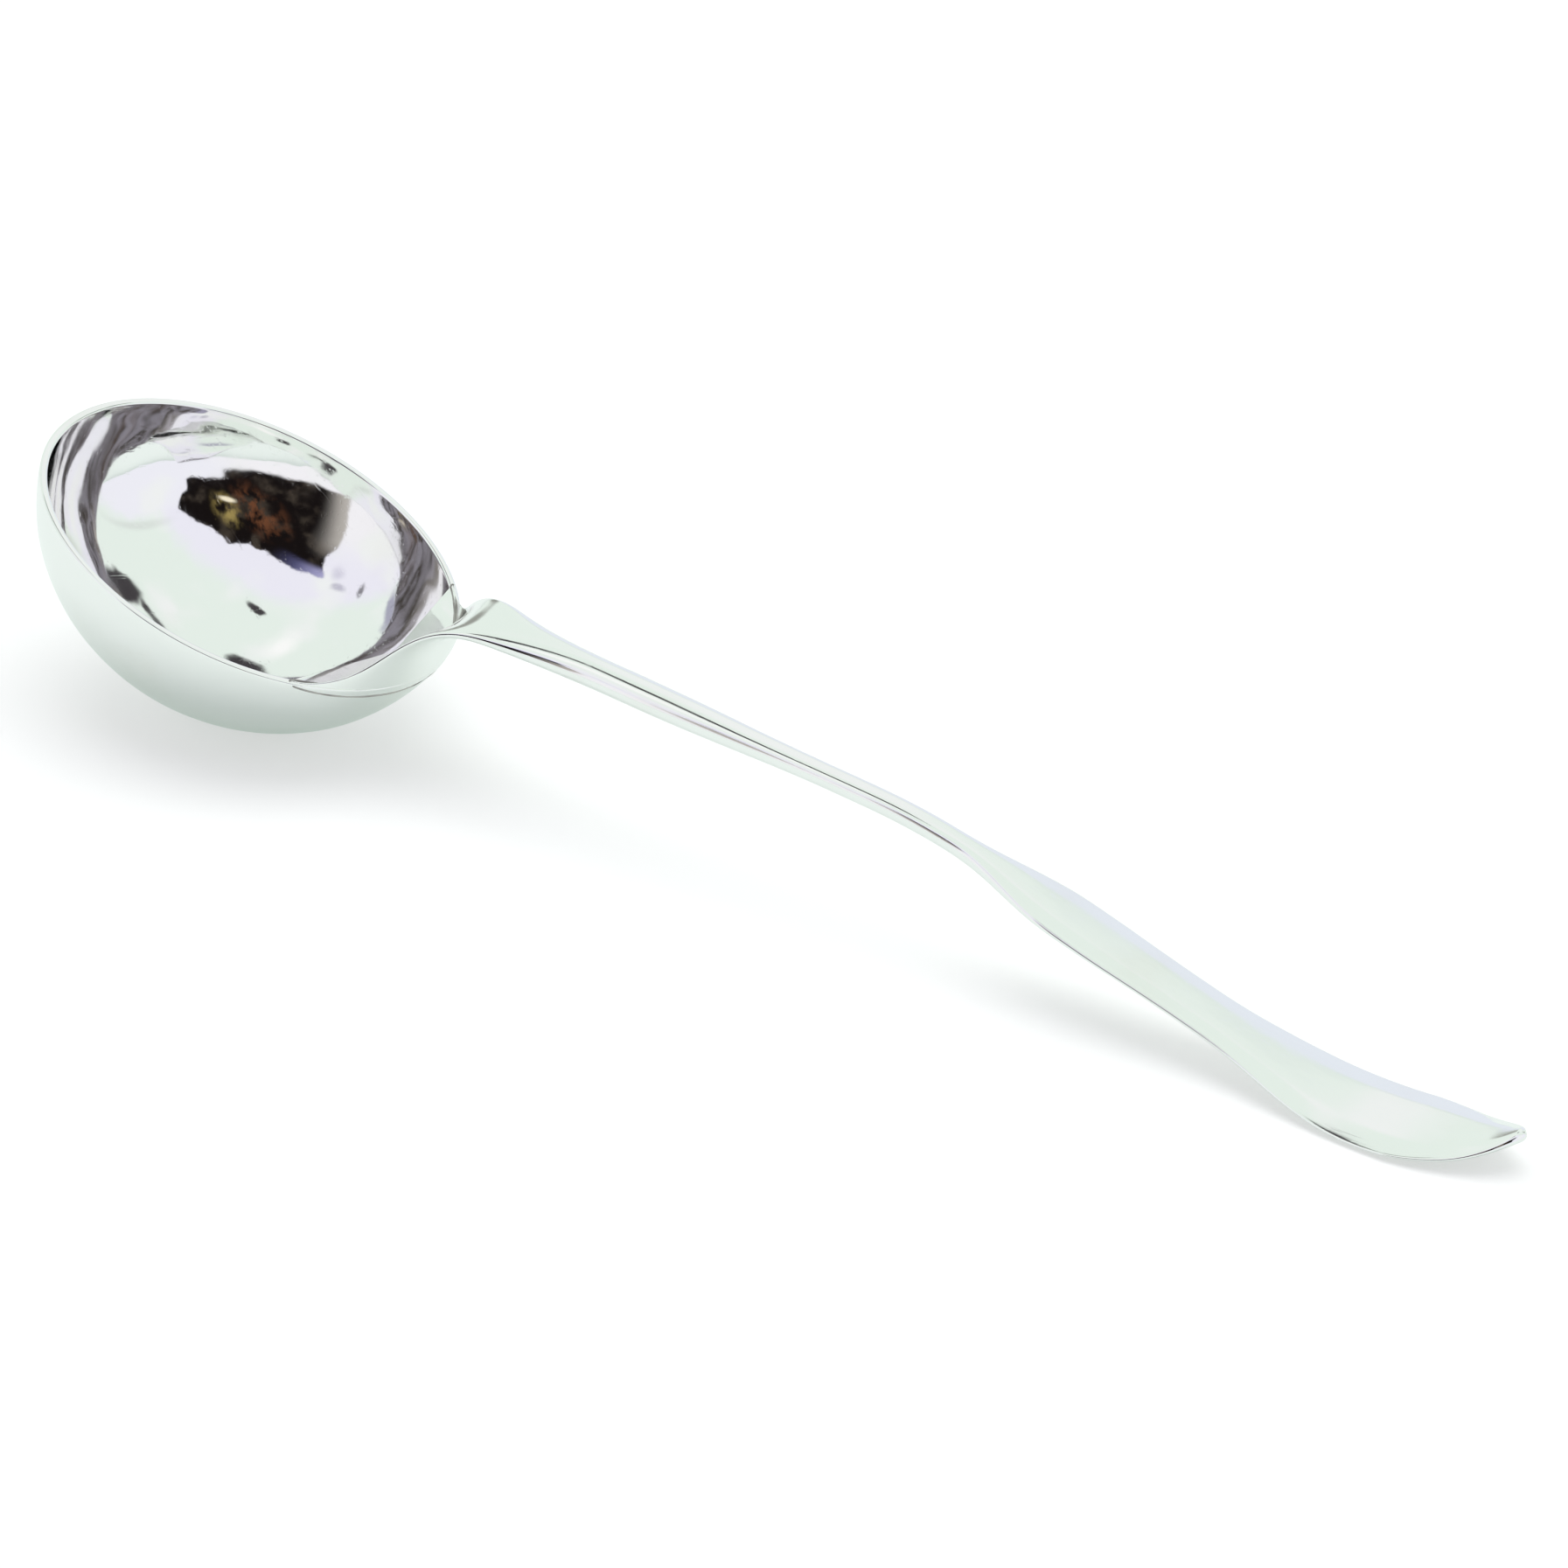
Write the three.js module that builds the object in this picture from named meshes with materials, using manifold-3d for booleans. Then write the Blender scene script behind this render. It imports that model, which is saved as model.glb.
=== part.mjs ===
// Silver sauce ladle: a raised round bowl, a forged handle with a flared root, a slender arched stem and
// a fiddle-shaped blade with a turned-up end, and the strip of hard solder that joins the two.
// Millimetres, +Z up. The ladle lies as it does on a table: on the bowl's worn underside and on the belly
// of the blade. +X runs from the bowl to the end of the handle; the XZ plane is the plane of symmetry.

import * as THREE from "three";
import { mergeVertices } from "three/addons/utils/BufferGeometryUtils.js";
import Module from "manifold-3d";

// Bowl: the lower part of an ellipsoid, round at the rim
const rimRadius = 25; // outside radius of the rim
const bowlDepth = 19.2; // outside depth, from the rim's plane to the bottom
const rimToCentre = 3; // how far the ellipsoid's centre is above the rim, so that the wall leans out there
const wall = 0.9; // thickness of the raised sheet
const bowlWear = 0.2; // how deep the worn flat under the bowl is

// Handle: a flat bar that leaves the rim square to its plane. Its stretches, along its middle line:
const flareHeight = 26.5; // the root, from the rim to where it has narrowed to the stem
const stemLength = 41.5;
const shoulderLength = 18; // where the stem widens to the shoulders
const waistLength = 13; // from the shoulders to the waist
const bladeLength = 27; // from the waist to the blade's widest place
const endLength = 13; // the rounded end
const neckPlace = flareHeight + stemLength;
const shoulderPlace = neckPlace + shoulderLength;
const waistPlace = shoulderPlace + waistLength;
const bladePlace = waistPlace + bladeLength;
const handleLength = bladePlace + endLength;

// Widths
const flareAngle = 45.5; // how far round the rim the root reaches, in degrees each side of the middle
const throatWidth = 5.2;
const stemWidth = 3.5;
const stemTaper = 29.5; // length over which the stem thins from the throat's size
const shoulderWidth = 10;
const waistWidth = 9.4;
const bladeWidth = 16;
const endRoundness = 1.5; // exponent of the superellipse that ends the blade: 2 is an ellipse

// Thicknesses
const throatThickness = 2.6;
const stemThickness = 1.9;
const bladeThickness = 1.3;
const stemSquareness = 2.4; // exponent of the superellipse section: 2 is an oval
const bladeSquareness = 4.5; // nearly a flat plate with rounded edges

// Bends, each a place, the length of bar that it takes, and how far it turns the bar, in degrees
const throatBend = { middle: 8, length: 14, turn: -76 }; // over the bowl's edge and away from it
const stemBend = { middle: neckPlace - 2, length: 26, turn: -11 }; // down towards the table
const bladeBend = { middle: bladePlace - 5, length: 26, turn: 25 }; // the belly it rests on
const endBend = { middle: handleLength - 5, length: 10, turn: 22 }; // the turned-up end
const bends = [throatBend, stemBend, bladeBend, endBend];
const bladeWear = 0.06; // how deep the worn flat under the blade's belly is

// Joint
const joint = 0.3; // clearance between the rim, the solder and the handle's root
const solderThickness = 0.3; // height of the solder strip

// Facets
const bowlSides = 56;
const bowlSteps = 12; // along the wall, from the bottom to the rim
const handleSides = 20;
const handleSteps = 84;
const handleCrowding = 0.85; // how much closer the sections are at both ends, from 0 to 1
const solderSteps = 24;

const silver = (colour, roughness) =>
  new THREE.MeshStandardMaterial({ color: colour, roughness, metalness: 1 });
const bowlSilver = silver(0xf1f0ec, 0.12);
const handleSilver = silver(0xeef2ee, 0.16);
const solderSilver = silver(0xd9d6cc, 0.3);

const DEGREE = Math.PI / 180;
const bowlHalfHeight = bowlDepth + rimToCentre; // the ellipsoid's upright half-axis, outside
const bowlHalfWidth = rimRadius / Math.sqrt(1 - (rimToCentre / bowlHalfHeight) ** 2);
const middleRadius = rimRadius - wall / 2;
const flareWidth = 2 * middleRadius * Math.sin(flareAngle * DEGREE);

// 0 up to a place, 1 past it, and a smooth rise over the length between
function blend(place, start, end) {
  return THREE.MathUtils.smootherstep(place, start, end);
}

// Slope of the bar to the rim's plane, in radians, at a distance along it
function slopeAt(along) {
  const turned = bends.map(
    ({ middle, length, turn }) => turn * blend(along, middle - length / 2, middle + length / 2),
  );
  return (90 + turned.reduce((sum, turn) => sum + turn, 0)) * DEGREE;
}

// Half the width of the bar: a hollow quarter-ellipse fillet at the root, smooth steps along the stem
// and blade, and a superellipse at the end
function halfWidthAt(along) {
  if (along > bladePlace) {
    const past = (along - bladePlace) / (handleLength - bladePlace);
    const rest = Math.max(1 - past ** endRoundness, 0);
    return (bladeWidth / 2) * rest ** (1 / endRoundness);
  }
  let width = throatWidth;
  width += (stemWidth - throatWidth) * blend(along, flareHeight, flareHeight + stemTaper);
  width += (shoulderWidth - stemWidth) * blend(along, neckPlace, shoulderPlace);
  width += (waistWidth - shoulderWidth) * blend(along, shoulderPlace, waistPlace);
  width += (bladeWidth - waistWidth) * blend(along, waistPlace, bladePlace);
  const left = Math.max(1 - along / flareHeight, 0);
  width += (flareWidth - throatWidth) * (1 - Math.sqrt(1 - left * left));
  return width / 2;
}

function halfThicknessAt(along) {
  let thickness = wall + (throatThickness - wall) * blend(along, 0, flareHeight);
  thickness += (stemThickness - throatThickness) * blend(along, flareHeight, flareHeight + stemTaper);
  thickness += (bladeThickness - stemThickness) * blend(along, neckPlace, waistPlace);
  return thickness / 2;
}

// How far a point at this distance from the middle is lifted off a flat section: the root follows the
// round of the rim, and the curve dies out along the flare
function hollowAt(along, across) {
  const round = middleRadius - Math.sqrt(Math.max(middleRadius ** 2 - across ** 2, 0));
  return round * (1 - blend(along, 0, flareHeight));
}

// Middle line of the bar in the bowl's own frame (rim in the plane z = 0, centred on the origin),
// summed in small steps from its root on the rim
const lineSteps = 2000;
const middleLine = [new THREE.Vector2(middleRadius, 0)];
for (let i = 0; i < lineSteps; i++) {
  const slope = slopeAt(((i + 0.5) * handleLength) / lineSteps);
  const step = new THREE.Vector2(Math.cos(slope), Math.sin(slope));
  middleLine.push(middleLine[i].clone().addScaledVector(step, handleLength / lineSteps));
}

function middleAt(along) {
  const place = THREE.MathUtils.clamp(along / handleLength, 0, 1) * lineSteps;
  const before = Math.min(Math.floor(place), lineSteps - 1);
  return middleLine[before].clone().lerp(middleLine[before + 1], place - before);
}

// A point of the bar: so far along it, so far across it, and so far above its middle surface
function barPoint(along, across, above) {
  const slope = slopeAt(along);
  const middle = middleAt(along);
  const lift = above + hollowAt(along, across);
  return new THREE.Vector3(
    middle.x - Math.sin(slope) * lift,
    across,
    middle.y + Math.cos(slope) * lift,
  );
}

// Depth of the worn bowl's lowest point under the middle of the rim, at a tilt of the rim
function bowlReach(tilt) {
  const half = Math.hypot(bowlHalfWidth * Math.sin(tilt), bowlHalfHeight * Math.cos(tilt));
  return half - rimToCentre * Math.cos(tilt) - bowlWear;
}

// Tilt of the rim, handle side down, at which the bowl and the blade touch the table together
function restTilt() {
  const gapUnderBlade = (tilt) => {
    let bladeLow = Infinity;
    for (let along = flareHeight; along <= handleLength; along += 0.1) {
      const p = barPoint(along, 0, -halfThicknessAt(along));
      bladeLow = Math.min(bladeLow, p.z * Math.cos(tilt) - p.x * Math.sin(tilt));
    }
    return bladeLow + bladeWear + bowlReach(tilt);
  };
  let [low, high] = [-45 * DEGREE, 60 * DEGREE];
  for (let i = 0; i < 40; i++) {
    const middle = (low + high) / 2;
    if (gapUnderBlade(middle) > 0) low = middle;
    else high = middle;
  }
  return (low + high) / 2;
}
const tilt = restTilt();
const rimHeight = bowlReach(tilt);

// One closed surface: the vertices that faces share, along seams and edges, are made one
function closed(geometry) {
  geometry.deleteAttribute("normal");
  geometry.deleteAttribute("uv");
  return mergeVertices(geometry);
}

// Points of an ellipse about the bowl's centre, from its lowest point up to the rim's plane
function ellipseToRim(halfWidth, halfHeight) {
  const rimAngle = Math.acos(rimToCentre / halfHeight);
  return Array.from({ length: bowlSteps + 1 }, (_, i) => {
    const angle = (i / bowlSteps) * rimAngle;
    const height = rimToCentre - halfHeight * Math.cos(angle);
    return new THREE.Vector2(halfWidth * Math.sin(angle), height);
  });
}

// Bowl: outer and inner ellipses, closed by the rim's flat edge
function bowlGeometry() {
  const outside = ellipseToRim(bowlHalfWidth, bowlHalfHeight);
  const inside = ellipseToRim(bowlHalfWidth - wall, bowlHalfHeight - wall);
  const outline = [...outside, ...inside.reverse()];
  return closed(new THREE.LatheGeometry(outline, bowlSides).rotateX(Math.PI / 2));
}

// Distance along the bar for an even count t from 0 to 1, with the sections closer at both ends
function stationAt(t, start) {
  const even = t - (handleCrowding * Math.sin(2 * Math.PI * t)) / (2 * Math.PI);
  return start + (handleLength - start) * even;
}

// Handle: a closed cylinder whose rings are laid round the bar as superellipse sections
function handleGeometry() {
  const start = solderThickness + 2 * joint;
  const smallestHalfWidth = 0.25;
  const geometry = closed(new THREE.CylinderGeometry(1, 1, 1, handleSides, handleSteps));
  const position = geometry.attributes.position;
  for (let i = 0; i < position.count; i++) {
    const x = position.getX(i);
    const z = position.getZ(i);
    const along = stationAt(position.getY(i) + 0.5, start);
    const squareness = THREE.MathUtils.lerp(
      stemSquareness,
      bladeSquareness,
      blend(along, neckPlace, waistPlace),
    );
    const power = 2 / squareness;
    const halfWidth = Math.max(halfWidthAt(along), smallestHalfWidth);
    const across = halfWidth * Math.sign(z) * Math.abs(z) ** power;
    const above = halfThicknessAt(along) * Math.sign(x) * Math.abs(x) ** power;
    const p = barPoint(along, across, above);
    position.setXYZ(i, p.x, p.y, p.z);
  }
  return geometry;
}

// Solder: a thin strip that follows the rim under the handle's root
function solderGeometry() {
  const half = Math.asin(halfWidthAt(solderThickness + 2 * joint) / middleRadius);
  const strip = new THREE.Shape();
  strip.absarc(0, 0, rimRadius - wall / 4, -half, half, false);
  strip.absarc(0, 0, rimRadius - (3 * wall) / 4, half, -half, true);
  strip.closePath();
  const options = { depth: solderThickness, bevelEnabled: false, curveSegments: solderSteps };
  return closed(new THREE.ExtrudeGeometry(strip, options).translate(0, 0, joint));
}

const wasm = await Module();
wasm.setup();

function toSolid(geometry) {
  return new wasm.Manifold(
    new wasm.Mesh({
      numProp: 3,
      vertProperties: geometry.attributes.position.array,
      triVerts: new Uint32Array(geometry.index.array),
    }),
  );
}

function toGeometry(solid) {
  const mesh = solid.getMesh();
  const geometry = new THREE.BufferGeometry();
  geometry.setAttribute("position", new THREE.BufferAttribute(mesh.vertProperties, 3));
  geometry.setIndex(new THREE.BufferAttribute(mesh.triVerts, 1));
  return geometry;
}

// Lay a piece down from the bowl's own frame to the table
function layDown(geometry) {
  return geometry.rotateY(tilt).translate(0, 0, rimHeight);
}

// Take off what wear has removed: everything under the table's plane
function wear(geometry) {
  const reach = 4 * (handleLength + rimRadius);
  const table = new THREE.BoxGeometry(reach, reach, rimRadius).translate(0, 0, -rimRadius / 2);
  return toGeometry(toSolid(geometry).subtract(toSolid(closed(table))));
}

function part(name, geometry, material) {
  geometry.computeVertexNormals();
  const mesh = new THREE.Mesh(geometry, material);
  mesh.name = name;
  return mesh;
}

const ladle = new THREE.Group();
ladle.add(part("bowl", wear(layDown(bowlGeometry())), bowlSilver));
ladle.add(part("handle", wear(layDown(handleGeometry())), handleSilver));
ladle.add(part("solder_seam", layDown(solderGeometry()), solderSilver));

// The origin is under the middle of the whole ladle
const box = new THREE.Box3().setFromObject(ladle, true);
ladle.position.x = -(box.min.x + box.max.x) / 2;

export default ladle;
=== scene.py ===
"""A silver sauce ladle: raised bowl, forged handle and the solder line that joins them, in a light tent."""

import math

import bmesh
import bpy
import numpy as np
from mathutils import Matrix, Vector


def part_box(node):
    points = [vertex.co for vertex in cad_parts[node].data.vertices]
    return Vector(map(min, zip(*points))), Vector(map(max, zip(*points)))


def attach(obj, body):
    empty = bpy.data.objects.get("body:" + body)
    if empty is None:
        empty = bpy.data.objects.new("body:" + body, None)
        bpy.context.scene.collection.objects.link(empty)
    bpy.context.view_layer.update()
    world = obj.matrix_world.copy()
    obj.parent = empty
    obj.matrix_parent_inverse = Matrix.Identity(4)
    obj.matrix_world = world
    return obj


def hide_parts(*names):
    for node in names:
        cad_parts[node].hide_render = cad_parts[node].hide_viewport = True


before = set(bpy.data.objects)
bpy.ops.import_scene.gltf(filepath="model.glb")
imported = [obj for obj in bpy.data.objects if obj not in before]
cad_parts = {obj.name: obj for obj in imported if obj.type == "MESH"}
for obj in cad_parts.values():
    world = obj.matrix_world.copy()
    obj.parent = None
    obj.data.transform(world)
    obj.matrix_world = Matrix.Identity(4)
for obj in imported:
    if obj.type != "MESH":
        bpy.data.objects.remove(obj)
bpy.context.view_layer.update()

MM = 0.001
DEGREE = math.pi / 180

# ---------------------------------------------------------------- driving dimensions, in millimetres
BOWL_DEPTH = 19.2
RIM_TO_CENTRE = 3.0  # how far the ellipsoid's centre is above the rim, so that the wall leans out there
WALL = 0.9
BOWL_WEAR = 0.2  # depth of the worn flat under the bowl
RIM_ROUND = 0.35  # height over which the edge of the rim is rounded
DENT_MARGIN = 0.035  # how far the walls sit inside the nominal surface, so that no hammer mark stands proud
REST_TILT = 18.8993 * DEGREE  # the rim's plane dips this much towards the handle

FLARE_HEIGHT = 26.5
STEM_LENGTH = 41.5
SHOULDER_LENGTH = 18.0
WAIST_LENGTH = 13.0
BLADE_LENGTH = 27.0
END_LENGTH = 13.0
NECK = FLARE_HEIGHT + STEM_LENGTH
SHOULDER = NECK + SHOULDER_LENGTH
WAIST = SHOULDER + WAIST_LENGTH
BLADE = WAIST + BLADE_LENGTH
HANDLE_LENGTH = BLADE + END_LENGTH

FLARE_ANGLE = 45.5 * DEGREE
THROAT_WIDTH = 5.2
STEM_WIDTH = 3.5
STEM_TAPER = 29.5
SHOULDER_WIDTH = 10.0
WAIST_WIDTH = 9.4
BLADE_WIDTH = 16.0
END_ROUNDNESS = 1.5
THROAT_THICKNESS = 2.6
STEM_THICKNESS = 1.9
BLADE_THICKNESS = 1.3
STEM_SQUARENESS = 2.4
BLADE_SQUARENESS = 3.5
ROOT_SQUARENESS = 3.0
BELLY_SQUARENESS = 2.2  # the underside is rounder than the upper face
BEVEL_SHARE = 0.42  # share of the blade's half-width that falls away towards its edge
BEVEL_SLOPE = 0.13
BEVEL_CORNER = 0.5  # how soft the corner is where the bevel starts
SQUARED_BY = 12.0  # the section has its blade shape this far before the neck
RIM_SQUARENESS = 4.0  # exponent of the superellipse across the rim

# each bend: its middle along the bar, the length it takes and the degrees it turns the bar
BENDS = ((8, 14, -76), (NECK - 2, 26, -11), (BLADE - 5, 26, 25), (HANDLE_LENGTH - 5, 10, 22))

LAP_DROP = 1.3  # how far the root laps down over the outside of the bowl
LAP_REACH = 4.0  # how far up the root the lap has run out
LAP_STANDS = 0.12  # how proud of the wall the lap stands
SEAM_RADIUS = 0.10
SEAM_SINK = 0.02  # how deep the bead's middle lies in the joint
SEAM_UNEVENNESS = 0.12  # share by which the bead swells and thins

# how finely each surface is divided
BOWL_AROUND = 300
BOWL_OUTSIDE_ROWS = 118
BOWL_INSIDE_ROWS = 112
RIM_ROWS = 26
HANDLE_ROWS = 760
HANDLE_AROUND = 96
HANDLE_CROWDING = 0.85  # how strongly the rows crowd towards both ends: 0 is even spacing
MIDDLE_LINE_POINTS = 4001
SEAM_ROWS = 720
SEAM_AROUND = 20

bowl_low, bowl_high = (np.array(corner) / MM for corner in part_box("bowl"))
RIM_RADIUS = (bowl_high[1] - bowl_low[1]) / 2
BOWL_X = bowl_high[0] - RIM_RADIUS * math.cos(REST_TILT)
HALF_HEIGHT = BOWL_DEPTH + RIM_TO_CENTRE
HALF_WIDTH = RIM_RADIUS / math.sqrt(1 - (RIM_TO_CENTRE / HALF_HEIGHT) ** 2)
# how far the wall leans out per height, at the rim
RIM_LEAN = HALF_WIDTH**2 / HALF_HEIGHT**2 * RIM_TO_CENTRE / RIM_RADIUS
BOWL_REACH = math.hypot(HALF_WIDTH * math.sin(REST_TILT), HALF_HEIGHT * math.cos(REST_TILT))
RIM_HEIGHT = BOWL_REACH - RIM_TO_CENTRE * math.cos(REST_TILT) - BOWL_WEAR
MIDDLE_RADIUS = RIM_RADIUS - WALL / 2
FLARE_WIDTH = 2 * MIDDLE_RADIUS * math.sin(FLARE_ANGLE)


# ---------------------------------------------------------------- camera
def add_camera():
    """The camera looks down at the ladle from the side, a little towards its handle, and is rolled."""
    azimuth, elevation, roll = 23.12 * DEGREE, 25.39 * DEGREE, 9.41 * DEGREE
    distance = 603 * MM
    target = Vector(((BOWL_X + 67.65) * MM, 0, (RIM_HEIGHT - 6.11) * MM))
    back = Vector(
        (
            math.sin(azimuth) * math.cos(elevation),
            -math.cos(azimuth) * math.cos(elevation),
            math.sin(elevation),
        )
    )
    level = Vector((math.cos(azimuth), math.sin(azimuth), 0))
    upright = back.cross(level)
    right = level * math.cos(roll) + upright * math.sin(roll)
    up = upright * math.cos(roll) - level * math.sin(roll)
    data = bpy.data.cameras.new("camera")
    data.sensor_width = 36
    data.lens = 129.8
    data.clip_start = 0.01
    data.clip_end = 100
    camera = bpy.data.objects.new("camera", data)
    bpy.context.scene.collection.objects.link(camera)
    turn = Matrix((right, up, back)).transposed().to_4x4()
    camera.matrix_world = Matrix.Translation(target + back * distance) @ turn
    bpy.context.scene.camera = camera


add_camera()


# ---------------------------------------------------------------- shape formulas
def rise(place, start, end):
    """0 before start, 1 past end, and 6t^5 - 15t^4 + 10t^3 in between."""
    t = np.clip((place - start) / (end - start), 0, 1)
    return t**3 * (t * (6 * t - 15) + 10)


def slope_at(along):
    """Slope of the bar to the rim's plane: 90 degrees at its root, plus each bend's turn times its rise."""
    turned = 0
    for middle, length, turn in BENDS:
        turned = turned + turn * rise(along, middle - length / 2, middle + length / 2)
    return (90 + turned) * DEGREE


def half_width_at(along):
    """Half the bar's width: a quarter-ellipse fillet at the root, steps to the shoulders, waist and blade,
    and a superellipse at the end."""
    width = THROAT_WIDTH + (STEM_WIDTH - THROAT_WIDTH) * rise(along, FLARE_HEIGHT, FLARE_HEIGHT + STEM_TAPER)
    width = width + (SHOULDER_WIDTH - STEM_WIDTH) * rise(along, NECK, SHOULDER)
    width = width + (WAIST_WIDTH - SHOULDER_WIDTH) * rise(along, SHOULDER, WAIST)
    width = width + (BLADE_WIDTH - WAIST_WIDTH) * rise(along, WAIST, BLADE)
    left = np.clip(1 - along / FLARE_HEIGHT, 0, 1)
    width = width + (FLARE_WIDTH - THROAT_WIDTH) * (1 - np.sqrt(1 - left**2))
    past = np.clip((along - BLADE) / END_LENGTH, 0, 1)
    return width / 2 * (1 - past**END_ROUNDNESS) ** (1 / END_ROUNDNESS)


def half_thickness_at(along):
    """Half the bar's thickness: the wall's at the root, most at the throat, least along the blade."""
    thickness = WALL + (THROAT_THICKNESS - WALL) * rise(along, 0, FLARE_HEIGHT)
    thickness = thickness + (STEM_THICKNESS - THROAT_THICKNESS) * rise(
        along, FLARE_HEIGHT, FLARE_HEIGHT + STEM_TAPER
    )
    thickness = thickness + (BLADE_THICKNESS - STEM_THICKNESS) * rise(along, NECK, WAIST)
    return thickness / 2


def bevel_at(along, across):
    """How far the upper face falls towards its edge: a slope past a share of the half-width, entered round a
    soft corner as (u + sqrt(u^2 + corner^2)) / 2."""
    past = np.abs(across) - half_width_at(along) * (1 - BEVEL_SHARE)
    fall = (past + np.sqrt(past**2 + BEVEL_CORNER**2)) / 2
    return BEVEL_SLOPE * fall * rise(along, NECK, SHOULDER)


def hollow_at(along, across):
    """Lift of the section off the flat: the rim's own round at the root, dying out along the flare."""
    round_of_rim = MIDDLE_RADIUS - np.sqrt(np.clip(MIDDLE_RADIUS**2 - across**2, 0, None))
    return round_of_rim * (1 - rise(along, 0, FLARE_HEIGHT))


def bar_points(along, across, above):
    """Points of the bar in the bowl's frame: along the middle line, summed from its slope in small steps,
    then across it, then square to it."""
    steps = np.linspace(0, HANDLE_LENGTH, MIDDLE_LINE_POINTS)
    slopes = slope_at((steps[1:] + steps[:-1]) / 2)
    line_x = MIDDLE_RADIUS + np.concatenate([[0], np.cumsum(np.cos(slopes) * np.diff(steps))])
    line_z = np.concatenate([[0], np.cumsum(np.sin(slopes) * np.diff(steps))])
    lift = above + hollow_at(along, across)
    slope = slope_at(along)
    x = np.interp(along, steps, line_x) - np.sin(slope) * lift
    z = np.interp(along, steps, line_z) + np.cos(slope) * lift
    return np.stack([x, across, z], axis=-1)


def lay_down(points):
    """From the bowl's own frame to the table: turn about Y by the rest tilt, then lift and shift."""
    x, y, z = np.moveaxis(points, -1, 0)
    turned_x = x * math.cos(REST_TILT) + z * math.sin(REST_TILT) + BOWL_X
    turned_z = z * math.cos(REST_TILT) - x * math.sin(REST_TILT) + RIM_HEIGHT
    return np.stack([turned_x, y, turned_z], axis=-1)


def worn(points, softness=0.03):
    """Wear by the table: height z becomes (z + sqrt(z^2 + softness^2)) / 2, a flat with a soft edge."""
    z = points[..., 2]
    points[..., 2] = (z + np.sqrt(z**2 + softness**2)) / 2
    return points


def ripple(points, wavelength, depth, seed, waves=28):
    """Hammer ripple: the sum of plane waves of one wavelength in random directions, of rms height depth."""
    rng = np.random.default_rng(seed)
    directions = rng.normal(size=(waves, 3))
    directions /= np.linalg.norm(directions, axis=1)[:, None]
    phases = rng.uniform(0, 2 * math.pi, waves)
    waved = np.cos(points @ directions.T * (2 * math.pi / wavelength) + phases)
    return depth * waved.sum(axis=-1) * math.sqrt(2 / waves)


# ---------------------------------------------------------------- meshes
def add_surface(name, rows, close_ends):
    """A closed surface from a grid of points in millimetres, rows by columns, whose columns run round it.
    With close_ends its first and last rows are each closed by one more point at their middle."""
    row_count, column_count = rows.shape[:2]
    points = rows.reshape(-1, 3)
    first = np.arange(row_count - 1)[:, None] * column_count + np.arange(column_count)
    second = np.arange(row_count - 1)[:, None] * column_count + (np.arange(column_count) + 1) % column_count
    quads = np.stack([first, second, second + column_count, first + column_count], axis=-1).reshape(-1, 4)
    faces = quads.tolist()
    if close_ends:
        ring = np.arange(column_count)
        following = (ring + 1) % column_count
        start, end = len(points), len(points) + 1
        last = (row_count - 1) * column_count
        points = np.vstack([points, rows[0].mean(axis=0), rows[-1].mean(axis=0)])
        faces += np.stack([following, ring, np.full(column_count, start)], axis=-1).tolist()
        faces += np.stack([last + ring, last + following, np.full(column_count, end)], axis=-1).tolist()
    mesh = bpy.data.meshes.new(name)
    mesh.from_pydata((points * MM).tolist(), [], faces)
    piece = bpy.data.objects.new(name, mesh)
    bpy.context.scene.collection.objects.link(piece)
    return piece


def tidy_surface(piece, merge=1e-7):
    """Merges points that meet, turns the faces outwards and shades the surface smooth."""
    work = bmesh.new()
    work.from_mesh(piece.data)
    bmesh.ops.remove_doubles(work, verts=work.verts, dist=merge)
    bmesh.ops.dissolve_degenerate(work, edges=work.edges, dist=merge)
    bmesh.ops.recalc_face_normals(work, faces=work.faces)
    work.to_mesh(piece.data)
    work.free()
    piece.data.polygons.foreach_set("use_smooth", np.ones(len(piece.data.polygons), bool))
    return piece


def wall_profile(half_width, half_height, steps):
    """Radius and height along an ellipse about the bowl's centre: half_width sin(angle) and rim_to_centre -
    half_height cos(angle), from the pole to just under the rim."""
    rim_angle = math.acos((RIM_TO_CENTRE + RIM_ROUND) / half_height)
    angle = np.linspace(0.004, rim_angle, steps)
    return np.stack([half_width * np.sin(angle), RIM_TO_CENTRE - half_height * np.cos(angle)], axis=-1)


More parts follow.
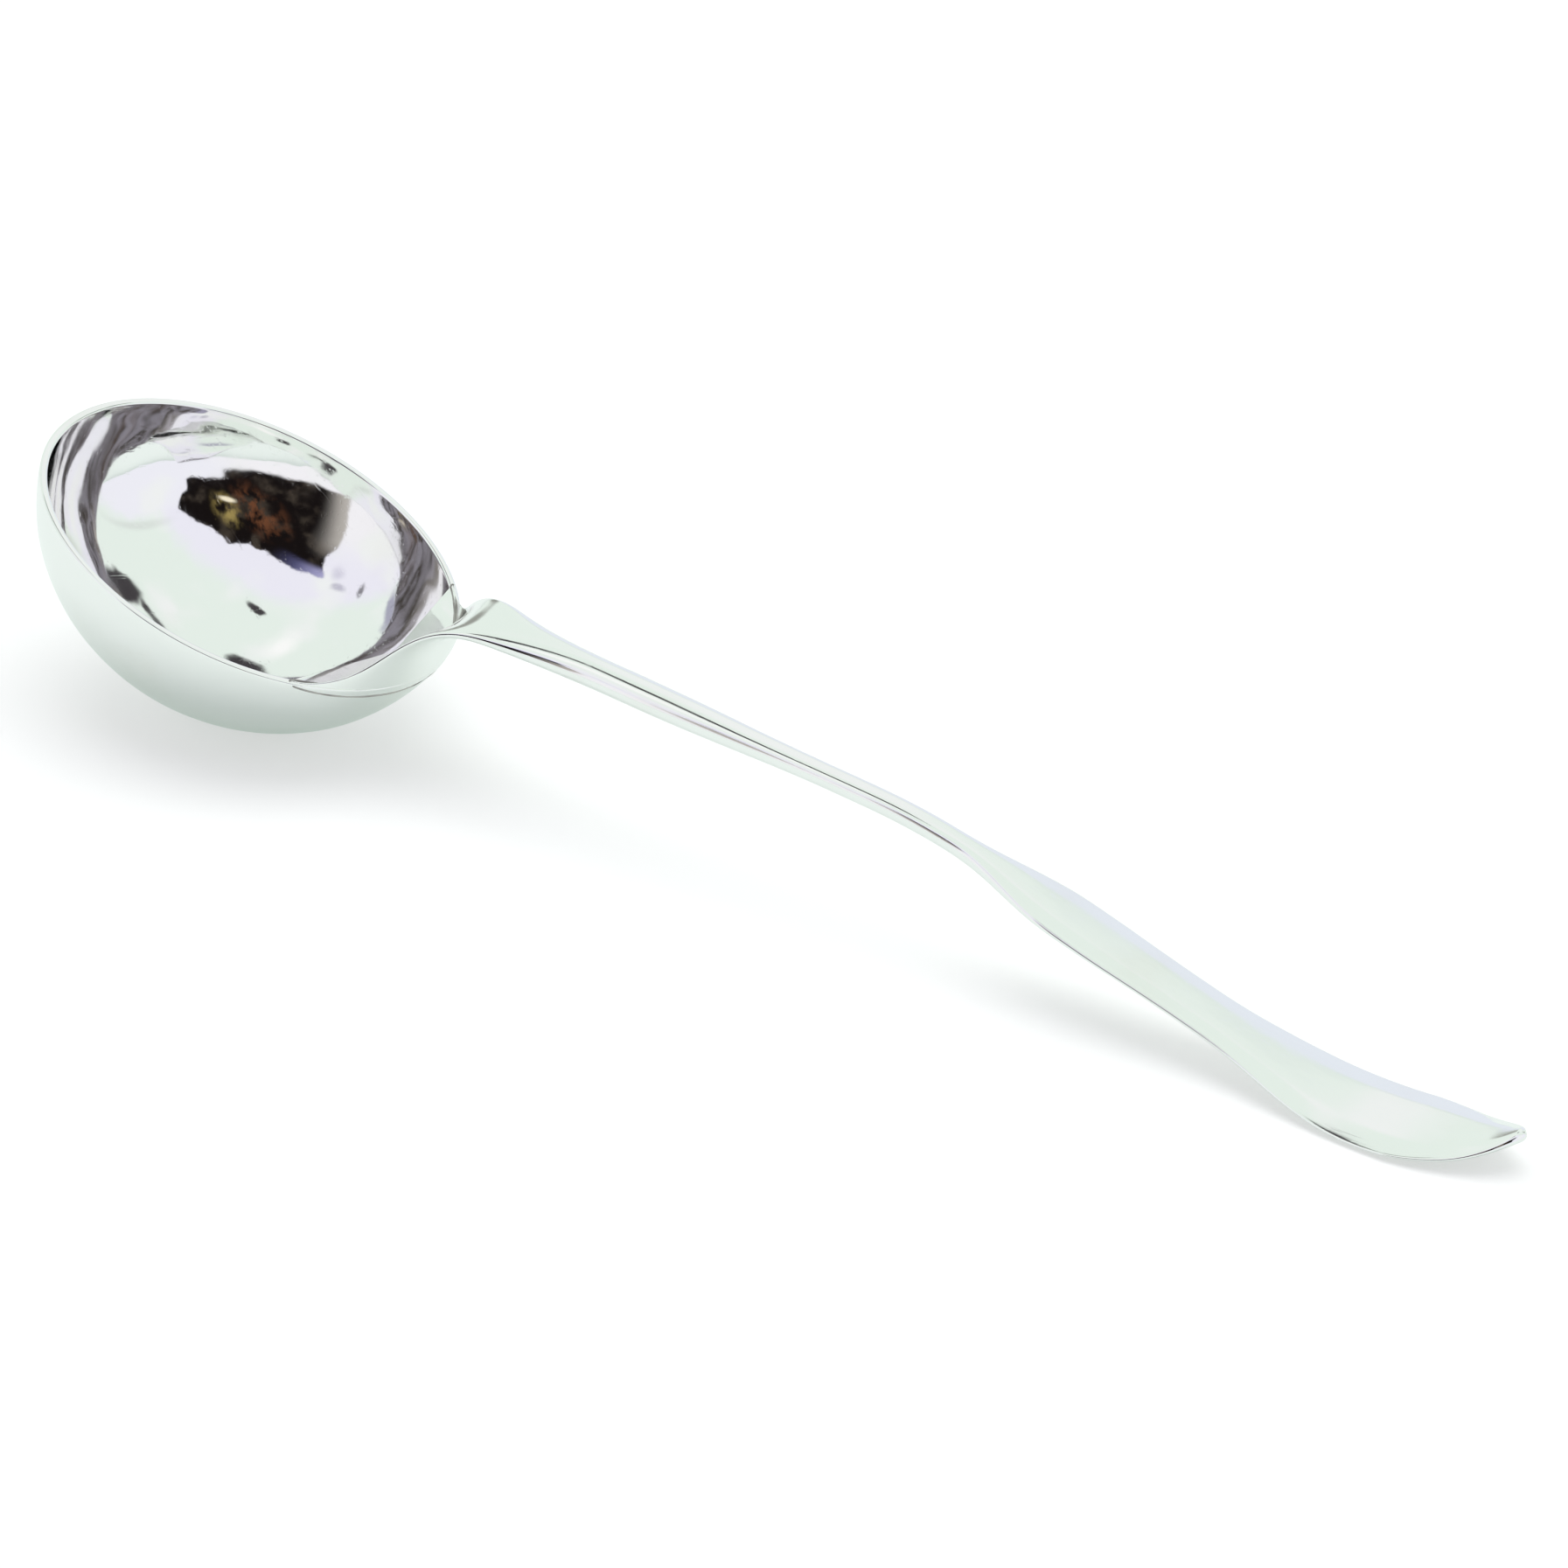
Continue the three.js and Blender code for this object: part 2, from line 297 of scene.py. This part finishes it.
def make_bowl():
    """The raised bowl: a profile spun round the bowl's axis. It climbs the outer ellipse, crosses the rim
    along a superellipse that leans out with the wall, and goes down the inner ellipse. The hammer ripple then
    moves the walls along the ellipsoid's normal, from nothing at the rim to its full depth 3 mm below it."""
    around = np.linspace(0, 2 * math.pi, BOWL_AROUND, endpoint=False)
    outer = wall_profile(HALF_WIDTH, HALF_HEIGHT, BOWL_OUTSIDE_ROWS)
    inner = wall_profile(HALF_WIDTH - WALL, HALF_HEIGHT - WALL, BOWL_INSIDE_ROWS)[::-1]
    turn = np.linspace(0, math.pi, RIM_ROWS)[1:-1]
    power = 2 / RIM_SQUARENESS
    over = np.sign(np.cos(turn)) * np.abs(np.cos(turn)) ** power
    top = RIM_ROUND * (np.abs(np.sin(turn)) ** power - 1)
    middle = (outer[-1, 0] + inner[0, 0]) / 2 + (top + RIM_ROUND) * RIM_LEAN
    rim = np.stack([middle + over * (outer[-1, 0] - inner[0, 0]) / 2, top], axis=-1)
    radius, height = np.vstack([outer, rim, inner]).T
    grid = np.stack(
        [
            radius[:, None] * np.cos(around),
            radius[:, None] * np.sin(around),
            np.broadcast_to(height[:, None], (len(height), len(around))),
        ],
        axis=-1,
    )
    inward = (grid - [0, 0, RIM_TO_CENTRE]) / np.array([HALF_WIDTH**2, HALF_WIDTH**2, HALF_HEIGHT**2])
    inward = -inward / np.linalg.norm(inward, axis=-1, keepdims=True)
    calm = rise(-grid[..., 2], 0.2, 3.0)
    dents = ripple(grid, 9.0, 0.011, seed=4) + ripple(grid, 4.2, 0.0028, seed=9)
    grid = grid + inward * ((dents + DENT_MARGIN) * calm)[..., None]
    return tidy_surface(add_surface("raised_bowl", worn(lay_down(grid)), close_ends=True))


def lap_drop(across):
    """How far the root's outer skin laps below the rim: half an ellipse between the ends of the root."""
    share = np.clip(across / (FLARE_WIDTH / 2), -1, 1)
    return LAP_DROP * np.sqrt(1 - share**2)


def make_handle():
    """The forged handle: superellipse sections laid along the bar, closer together at both ends, squarer
    above than below past the stem. The thickness runs out in a quarter-circle at the tip. The upper face
    falls away as a bevel along the blade. The root's outer skin is drawn down over the wall. A ripple is
    added to the height past the root."""
    count = np.linspace(0, 1, HANDLE_ROWS)
    crowded = count - HANDLE_CROWDING * np.sin(2 * math.pi * count) / (2 * math.pi)
    along = (HANDLE_LENGTH * crowded)[:, None]
    round_angle = np.linspace(0, 2 * math.pi, HANDLE_AROUND, endpoint=False)[None, :]
    forming = rise(along, FLARE_HEIGHT, NECK - SQUARED_BY)
    squareness = STEM_SQUARENESS + (BLADE_SQUARENESS - STEM_SQUARENESS) * forming
    root = rise(along, 0, FLARE_HEIGHT)
    squareness = squareness + (ROOT_SQUARENESS - STEM_SQUARENESS) * (1 - root)
    on_top = np.cos(round_angle) > 0
    belly = squareness + (BELLY_SQUARENESS - squareness) * forming
    power = 2 / np.where(on_top, squareness, belly)
    side = np.sign(np.sin(round_angle)) * np.abs(np.sin(round_angle)) ** power
    face = np.sign(np.cos(round_angle)) * np.abs(np.cos(round_angle)) ** power
    across = half_width_at(along) * side
    from_tip = np.clip((HANDLE_LENGTH - along) / (BLADE_THICKNESS / 2), 0, 1)
    above = half_thickness_at(along) * face * np.sqrt(1 - (1 - from_tip) ** 2)
    above = above - np.where(on_top, bevel_at(along, across) * np.clip(face, 0, 1), 0)
    outside = rise(-face, 0, 0.8)
    fall = np.clip(1 - along / LAP_REACH, 0, 1) ** 2
    above = above - LAP_STANDS * outside * fall * rise(along, 0, 0.2)
    points = bar_points(along, across, above)
    lap = lap_drop(across) * outside * fall
    points[..., :2] *= (1 - lap * RIM_LEAN / MIDDLE_RADIUS)[..., None]
    points[..., 2] -= lap
    dents = ripple(points, 11.0, 0.008, seed=21) + ripple(points, 5.0, 0.002, seed=5)
    points[..., 2] += dents * rise(along, 3, 12)
    return tidy_surface(add_surface("forged_handle", worn(lay_down(points)), close_ends=True))


def make_seam():
    """The solder line: a thin bead along a loop that follows the lap's leaf-shaped edge outside the wall and
    comes back along the inside of the rim."""
    loop = np.linspace(0, 2 * math.pi, SEAM_ROWS, endpoint=False)
    turn = FLARE_ANGLE * np.cos(loop)
    drop = LAP_DROP * np.clip(-np.sin(loop), 0, None)
    outwards = np.clip(-4 * np.sin(loop), -1, 1)
    wall_radius = HALF_WIDTH * np.sqrt(1 - ((drop + RIM_TO_CENTRE) / HALF_HEIGHT) ** 2) - WALL / 2
    radius = wall_radius + outwards * (WALL / 2 - SEAM_SINK)
    height = -drop - SEAM_SINK
    path = np.stack([radius * np.cos(turn), radius * np.sin(turn), height], axis=-1)
    tangent = np.roll(path, -1, axis=0) - np.roll(path, 1, axis=0)
    tangent /= np.linalg.norm(tangent, axis=1)[:, None]
    spoke = np.stack([np.cos(turn), np.sin(turn), 0 * turn], axis=-1)
    second = np.cross(tangent, spoke)
    second /= np.linalg.norm(second, axis=1)[:, None]
    third = np.cross(second, tangent)
    angle = np.linspace(0, 2 * math.pi, SEAM_AROUND, endpoint=False)
    beads = SEAM_RADIUS * (1 + SEAM_UNEVENNESS * ripple(path, 3.0, 1.0, seed=13))
    ring = np.cos(angle)[None, :, None] * second[:, None] + np.sin(angle)[None, :, None] * third[:, None]
    tube = path[:, None] + ring * beads[:, None, None]
    closed = np.concatenate([tube, tube[:1]])
    return tidy_surface(add_surface("solder_line", lay_down(closed), close_ends=False))


# ---------------------------------------------------------------- shader maths
class Shade:
    """One output of a node tree. Arithmetic on it adds Math nodes, and node() adds any other node."""

    def __init__(self, tree, socket=None):
        self.tree = tree
        self.socket = socket

    def node(self, kind, settings=None, inputs=None, output=0, stops=None):
        made = self.tree.nodes.new(kind)
        for name, value in (settings or {}).items():
            setattr(made, name, value)
        for number, (position, value) in enumerate(stops or ()):
            elements = made.color_ramp.elements
            stop = elements[number] if number < 2 else elements.new(position)
            stop.position = position
            stop.color = (value, value, value, 1)
        for name, value in (inputs or {}).items():
            if isinstance(value, Shade):
                self.tree.links.new(value.socket, made.inputs[name])
            else:
                made.inputs[name].default_value = value
        return Shade(self.tree, made.outputs[output])

    def maths(self, operation, *others):
        values = (self, *others)
        return self.node("ShaderNodeMath", {"operation": operation}, dict(enumerate(values)))

    def __add__(self, other):
        return self.maths("ADD", other)

    def __radd__(self, other):
        return self.maths("ADD", other)

    def __sub__(self, other):
        return self.maths("SUBTRACT", other)

    def __rsub__(self, other):
        return self.node("ShaderNodeMath", {"operation": "SUBTRACT"}, {0: other, 1: self})

    def __mul__(self, other):
        return self.maths("MULTIPLY", other)

    def __rmul__(self, other):
        return self.maths("MULTIPLY", other)

    def __truediv__(self, other):
        return self.maths("DIVIDE", other)

    def ramp(self, start, end):
        """0 at start, 1 at end, smooth between; start may be above end."""
        settings = {"interpolation_type": "SMOOTHSTEP"}
        return self.node("ShaderNodeMapRange", settings, {"Value": self, "From Min": start, "From Max": end})

    def follow(self, points, span=100):
        """A line through points (place, value), straight between them, of places and values within span."""
        stops = [(0.5 + place / (2 * span), 0.5 + value / (2 * span)) for place, value in points]
        spot = self * (0.5 / span) + 0.5
        made = spot.node("ShaderNodeValToRGB", None, {0: spot}, stops=stops)
        return (made - 0.5) * (2 * span)

    def mix(self, low, high):
        """This value as a mix between two colours."""
        return self.node("ShaderNodeMix", {"data_type": "RGBA"}, {0: self, 6: low, 7: high}, output=2)

    def scaled(self, x, y, z):
        """A vector scaled apart along its three axes."""
        return self.node("ShaderNodeVectorMath", {"operation": "MULTIPLY"}, {0: self, 1: (x, y, z)})

    def turned(self, x, y, z):
        """A vector turned about the origin, in degrees."""
        angles = (x * DEGREE, y * DEGREE, z * DEGREE)
        return self.node("ShaderNodeMapping", None, {"Vector": self, "Rotation": angles})

    def noise(self, scale, detail=2.0, roughness=0.5):
        inputs = {"Vector": self, "Scale": scale, "Detail": detail, "Roughness": roughness}
        return self.node("ShaderNodeTexNoise", None, inputs)

    def cells(self, scale):
        """Distance to the nearest of scattered points, smoothed, as planishing marks lie."""
        settings = {"feature": "SMOOTH_F1"}
        inputs = {"Vector": self, "Scale": scale, "Smoothness": 0.8}
        return self.node("ShaderNodeTexVoronoi", settings, inputs)


def colour(red, green, blue):
    return (red, green, blue, 1.0)


def scratches(place, turn, pitch):
    """Fine hairlines: noise drawn out a hundredfold along one direction, of which only the crests stay."""
    drawn = place.turned(*turn).scaled(pitch, pitch / 60, pitch)
    return drawn.noise(1.0, detail=3.0).ramp(0.62, 0.74)


def new_material(name):
    """A metal material: returns it, its Object coordinates and its shader node."""
    material = bpy.data.materials.new(name)
    material.use_nodes = True
    tree = material.node_tree
    shader = tree.nodes["Principled BSDF"]
    shader.inputs["Metallic"].default_value = 1.0
    place = Shade(tree).node("ShaderNodeTexCoord", output="Object")
    return material, place, shader


def join(shader, base, roughness, *heights):
    """Links colour and roughness, and stacks bumps given as (height, distance in metres)."""
    tree = shader.id_data
    tree.links.new(base.socket, shader.inputs["Base Color"])
    tree.links.new(roughness.socket, shader.inputs["Roughness"])
    normal = None
    for height, distance in heights:
        inputs = {"Height": height, "Distance": distance, "Strength": 1.0}
        if normal is not None:
            inputs["Normal"] = normal
        normal = height.node("ShaderNodeBump", None, inputs)
    tree.links.new(normal.socket, shader.inputs["Normal"])


def bowl_silver():
    """Raised and planished silver, polished bright: overlapping hammer marks, hairlines, dull smudges and a
    warm breath of tarnish."""
    material, place, shader = new_material("bowl_silver")
    marks = place.cells(260)
    grain = place.noise(900, detail=4.0)
    smudge = place.noise(95, detail=5.0, roughness=0.62).ramp(0.46, 0.70)
    lines = scratches(place, (20, 35, 10), 2600) + scratches(place, (70, -20, 60), 2100)
    tarnish = place.noise(60, detail=6.0, roughness=0.6).ramp(0.52, 0.78)
    base = (tarnish * 0.35).mix(colour(0.955, 0.955, 0.945), colour(0.86, 0.84, 0.79))
    roughness = 0.035 + smudge * 0.05 + lines * 0.05 + grain * 0.015
    join(shader, base, roughness, (marks, 0.00004), (grain, 0.0000012), (lines, 0.0000016))
    return material


def handle_silver():
    """Forged and filed silver: lengthwise hairlines, a few long nicks, dull smudges and a warm breath of
    tarnish."""
    material, place, shader = new_material("handle_silver")
    waves = place.scaled(0.6, 1, 1).noise(240, detail=2.0)
    grain = place.noise(1100, detail=4.0)
    lines = scratches(place, (0, 0, 88), 2600) + scratches(place, (0, 12, 70), 1700)
    smudge = place.noise(80, detail=5.0, roughness=0.6).ramp(0.45, 0.72)
    tarnish = place.noise(70, detail=6.0, roughness=0.6).ramp(0.5, 0.8)
    base = (tarnish * 0.35).mix(colour(0.95, 0.955, 0.94), colour(0.87, 0.85, 0.80))
    roughness = 0.07 + smudge * 0.06 + lines * 0.05 + grain * 0.02
    join(shader, base, roughness, (waves, 0.00002), (grain, 0.0000014), (lines, 0.000002))
    return material


def solder():
    """Hard solder: greyer and yellower than the silver, pitted and left a little dull in the joint."""
    material, place, shader = new_material("solder")
    pits = place.noise(2600, detail=5.0, roughness=0.7)
    blotches = place.noise(420, detail=3.0)
    base = blotches.ramp(0.4, 0.65).mix(colour(0.52, 0.50, 0.48), colour(0.32, 0.30, 0.29))
    roughness = 0.36 + pits * 0.25
    join(shader, base, roughness, (pits, 0.00003), (blotches, 0.00003))
    return material


# ---------------------------------------------------------------- the light tent
def tent_patch(sideways, forwards, middle, reach, softness=0.25):
    """An elliptical patch of the tent's wall: 1 inside, 0 outside."""
    across = (sideways - middle[0]) / reach[0]
    along = (forwards - middle[1]) / reach[1]
    distance = (across * across + along * along).maths("SQRT")
    return distance.ramp(1 + softness, 1 - softness)


def opening_colour(direction, sideways, forwards):
    """The room seen through the tent's opening: black and brown shapes with a warm lamp and gilt glints."""
    shapes = direction.noise(5.5, detail=3.0, roughness=0.55)
    streaks = direction.turned(0, 0, 35).scaled(3, 14, 9).noise(1.0, detail=4.0, roughness=0.6)
    room = shapes.ramp(0.46, 0.68).mix(colour(0.008, 0.006, 0.006), colour(0.050, 0.040, 0.032))
    olive = tent_patch(sideways, forwards, (50, 31), (9, 6), 0.6) * streaks.ramp(0.36, 0.60)
    room = olive.mix(room, colour(0.34, 0.26, 0.09))
    brown = tent_patch(sideways, forwards, (36, 46), (17, 9), 0.6) * streaks.ramp(0.42, 0.60)
    room = brown.mix(room, colour(0.15, 0.058, 0.028))
    slanted = sideways + (forwards - 35) * 0.9
    glint = tent_patch(slanted, forwards, (53.5, 35), (2.0, 3.6), 0.5)
    room = glint.mix(room, colour(0.95, 0.86, 0.66))
    veil = sideways.ramp(4, -18) * forwards.ramp(40, 54)
    return (veil * 0.95).mix(room, colour(0.50, 0.47, 0.44))


def tent_opening(sideways, forwards, zenith, bulge):
    """The opening at the front of the tent, inside its upper, right and left edges and above the card that
    closes it below: 1 inside, 0 outside."""
    top = sideways.follow(((-20, 32), (0, 30), (20, 30), (28, 27), (36, 18), (46, 17), (62, 4), (75, 0)))
    below_top = (forwards - top - bulge * 5).ramp(-0.6, 0.9)
    right = forwards.follow(((4, 62), (10, 68.5), (14, 69), (18, 75), (23, 75), (38, 67), (43, 65), (47, 72)))
    inside_right = (right - sideways + bulge * 4).ramp(-0.6, 0.9)
    left = forwards.follow(((30, -14), (38, -11), (44, -10), (50, -16), (60, -18)))
    inside_left = (sideways - left + bulge * 4).ramp(-0.8, 1.2)
    above_card = (82.3 - zenith + bulge * 3).ramp(-1.2, 1.2)
    return below_top * inside_right * inside_left * above_card


def tent_colour(direction, haze):
    """The inside of the tent as it is mirrored in the silver. A direction is given by its angle from the
    zenith, in degrees, split into a sideways (+X) and a forwards (-Y) part."""
    x = direction.node("ShaderNodeSeparateXYZ", None, {0: direction})
    y = Shade(x.tree, x.socket.node.outputs[1])
    z = Shade(x.tree, x.socket.node.outputs[2])
    zenith = z.maths("ARCCOSINE") * (1 / DEGREE)
    level = (x * x + y * y).maths("SQRT").maths("MAXIMUM", 0.0001)
    sideways = zenith * x / level
    forwards = zenith * y / level * -1
    bulge = direction.noise(9, detail=4.0, roughness=0.6) - 0.5

    cloth = direction.noise(2.2, detail=2.0)
    violet = colour(0.86, 0.85, 0.95)
    green = colour(0.81, 0.895, 0.84)
    walls = (forwards + sideways * 0.3 + bulge * 12).ramp(2, 16).mix(green, violet)
    walls = (sideways + bulge * 10).ramp(60, 66).mix(walls, colour(0.88, 0.88, 0.96))
    walls = (forwards.ramp(34, 60) * zenith.ramp(40, 60)).mix(walls, colour(0.92, 0.91, 0.95))
    walls = cloth.ramp(0.50, 0.75).mix(walls, colour(0.90, 0.92, 0.92))
    below_hem = forwards - (sideways + 25) * 0.35 + bulge * 2
    low_back = below_hem.ramp(-67.5, -69) * sideways.ramp(14, -2)
    walls = (low_back * 0.9).mix(walls, colour(0.80, 0.84, 0.93))
    hem = tent_patch(below_hem, sideways, (-67.5, -25), (1.0, 30), 0.8)
    walls = (hem * 0.35).mix(walls, colour(0.60, 0.68, 0.64))
    corner = tent_patch(sideways, forwards + bulge * 6, (-48, -70), (4.5, 6), 0.5)
    walls = (corner * 0.8).mix(walls, colour(0.20, 0.19, 0.17))
    walls = (tent_patch(sideways, forwards, (-15, -14), (4, 9), 0.7) * 0.9).mix(walls, colour(1, 1, 1))
    fold = tent_patch(sideways, forwards, (59, -30), (1.8, 20), 0.8)
    walls = (fold * 0.4).mix(walls, colour(0.55, 0.56, 0.56))

    gaps = tent_patch(sideways + bulge * 8, forwards + bulge * 8, (29, -54), (6.0, 9.0))
    gaps = gaps.maths("MAXIMUM", tent_patch(sideways, forwards + bulge * 6, (17, -47), (9, 1.8), 0.4))
    gaps = gaps.maths("MAXIMUM", tent_patch(sideways, forwards + bulge * 7, (-13, -34), (7.5, 5)))
    gaps = gaps.maths("MAXIMUM", tent_patch(sideways, forwards + bulge * 5, (4.5, -1), (5.2, 2.2)))
    small_gap = tent_patch(sideways + bulge * 4, forwards, (-36, 27), (1.6, 3.4), 0.6)
    gaps = gaps.maths("MAXIMUM", small_gap * 0.75)
    walls = gaps.mix(walls, colour(0.055, 0.050, 0.055))
    shade = tent_patch(sideways + bulge * 6, forwards, (-56, 10), (3.5, 13), 0.5)
    middle_smudge = tent_patch(sideways + bulge * 6, forwards, (-23, 28), (3.4, 2.2), 0.6)
    shade = shade.maths("MAXIMUM", middle_smudge * 0.7)
    faint_smudge = tent_patch(sideways, forwards + bulge * 5, (-21, 36), (3.0, 3.6), 0.8)
    shade = shade.maths("MAXIMUM", faint_smudge * 0.4)
    walls = (shade * 0.8).mix(walls, colour(0.30, 0.28, 0.42))

    fringe = forwards.ramp(38, 33) * sideways.ramp(18, -2)
    blue = sideways.ramp(6, -12).mix(colour(0.09, 0.09, 0.20), colour(0.36, 0.35, 0.58))
    room = fringe.mix(opening_colour(direction, sideways, forwards), blue)
    mist = direction.scaled(6, 22, 14).noise(1.0, detail=3.0).ramp(0.36, 0.62)
    mist = mist.mix(colour(0.07, 0.06, 0.05), colour(0.42, 0.40, 0.47))
    room = haze.mix(room, mist)
    return tent_opening(sideways, forwards, zenith, bulge).mix(walls, room)


def light_the_scene():
    """A tent of pale cloth all round, plain white to the camera, and a wide soft light above it. The tent's
    opening looks hazier where it is mirrored a second time."""
    scene = bpy.context.scene
    scene.view_settings.view_transform = "Standard"
    world = bpy.data.worlds.new("tent")
    scene.world = world
    world.use_nodes = True
    tree = world.node_tree
    start = Shade(tree)
    direction = start.node("ShaderNodeTexCoord", output="Generated")
    seen_directly = start.node("ShaderNodeLightPath", output="Is Camera Ray")
    bounces = start.node("ShaderNodeLightPath", output="Ray Depth")
    haze = (bounces - 2).maths("MINIMUM", 1).maths("MAXIMUM", 0) * 0.6
    light = seen_directly.mix(tent_colour(direction, haze), colour(0.97, 0.97, 0.97))
    tree.links.new(light.socket, tree.nodes["Background"].inputs["Color"])

    lamp = bpy.data.lights.new("soft_light", "AREA")
    lamp.shape = "DISK"
    lamp.size = 1.1
    lamp.energy = 5.0
    lamp_object = bpy.data.objects.new("soft_light", lamp)
    lamp_object.location = (-0.15, 0.1, 0.95)
    lamp_object.visible_glossy = False
    scene.collection.objects.link(lamp_object)


def add_floor():
    """A wide sheet of white card that glows a little, and a little greener where it is mirrored."""
    half = 12.0
    corners = [(-half, -half, 0), (half, -half, 0), (half, half, 0), (-half, half, 0)]
    mesh = bpy.data.meshes.new("floor")
    mesh.from_pydata(corners, [], [(0, 1, 2, 3)])
    floor = bpy.data.objects.new("floor", mesh)
    bpy.context.scene.collection.objects.link(floor)
    material = bpy.data.materials.new("card")
    material.use_nodes = True
    tree = material.node_tree
    shader = tree.nodes["Principled BSDF"]
    shader.inputs["Base Color"].default_value = colour(0.56, 0.56, 0.56)
    seen_directly = Shade(tree).node("ShaderNodeLightPath", output="Is Camera Ray")
    glow = seen_directly.mix(colour(0.24, 0.29, 0.26), colour(0.46, 0.46, 0.46))
    tree.links.new(glow.socket, shader.inputs["Emission Color"])
    shader.inputs["Emission Strength"].default_value = 1.0
    shader.inputs["Roughness"].default_value = 0.9
    shader.inputs["Specular IOR Level"].default_value = 0.1
    mesh.materials.append(material)


# ---------------------------------------------------------------- putting it together
def finish_piece(piece, material, node):
    """Gives a piece its finish and lets it stand for its CAD node."""
    piece.data.materials.append(material)
    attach(piece, "root")
    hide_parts(node)


light_the_scene()
add_floor()
finish_piece(make_bowl(), bowl_silver(), "bowl")
finish_piece(make_handle(), handle_silver(), "handle")
finish_piece(make_seam(), solder(), "solder_seam")
